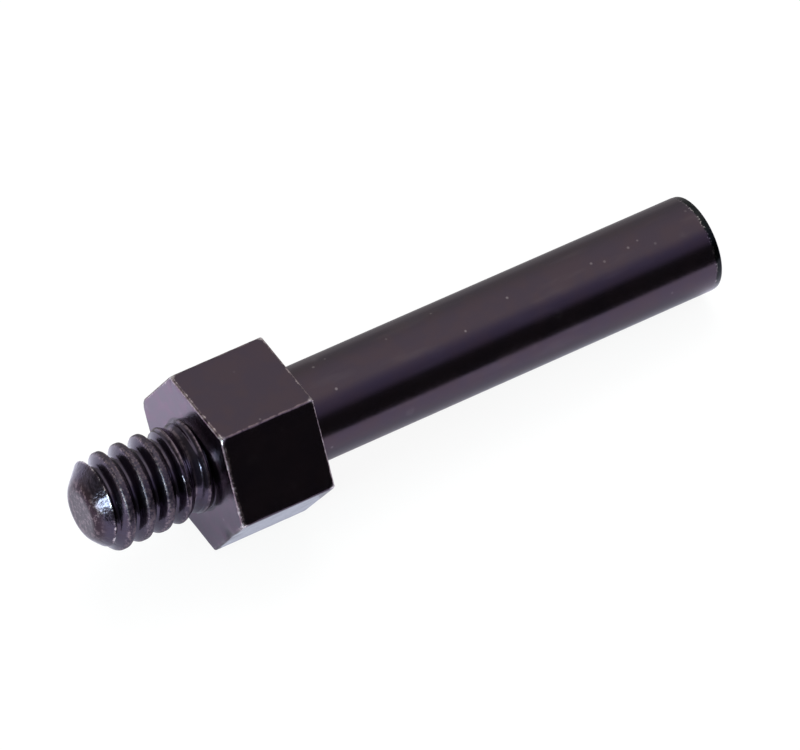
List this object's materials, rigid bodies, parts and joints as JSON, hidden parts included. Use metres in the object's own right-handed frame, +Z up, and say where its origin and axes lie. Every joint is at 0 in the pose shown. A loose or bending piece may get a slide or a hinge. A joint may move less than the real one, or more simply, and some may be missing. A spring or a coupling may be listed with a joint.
{
  "type": "threaded mandrel",
  "caption": "One-piece black-oxide steel mandrel with a left-hand threaded stud, a hexagonal body and a plain round shank, lying at rest",
  "frame": {"origin": "on the table, under the middle of the part's bounding box", "axes": "+Z up; +X from the stud towards the end of the shank, the length of the part; +Y completes the right-handed frame, across the hexagon's corners"},
  "size_m": [0.034, 0.009, 0.008],
  "materials": {
    "steel": "black oxide over turned steel, semi-gloss, worn bright along the edges of the hexagon"
  },
  "bodies": {
    "root": {"mandrel": "steel"}
  },
  "joints": []
}
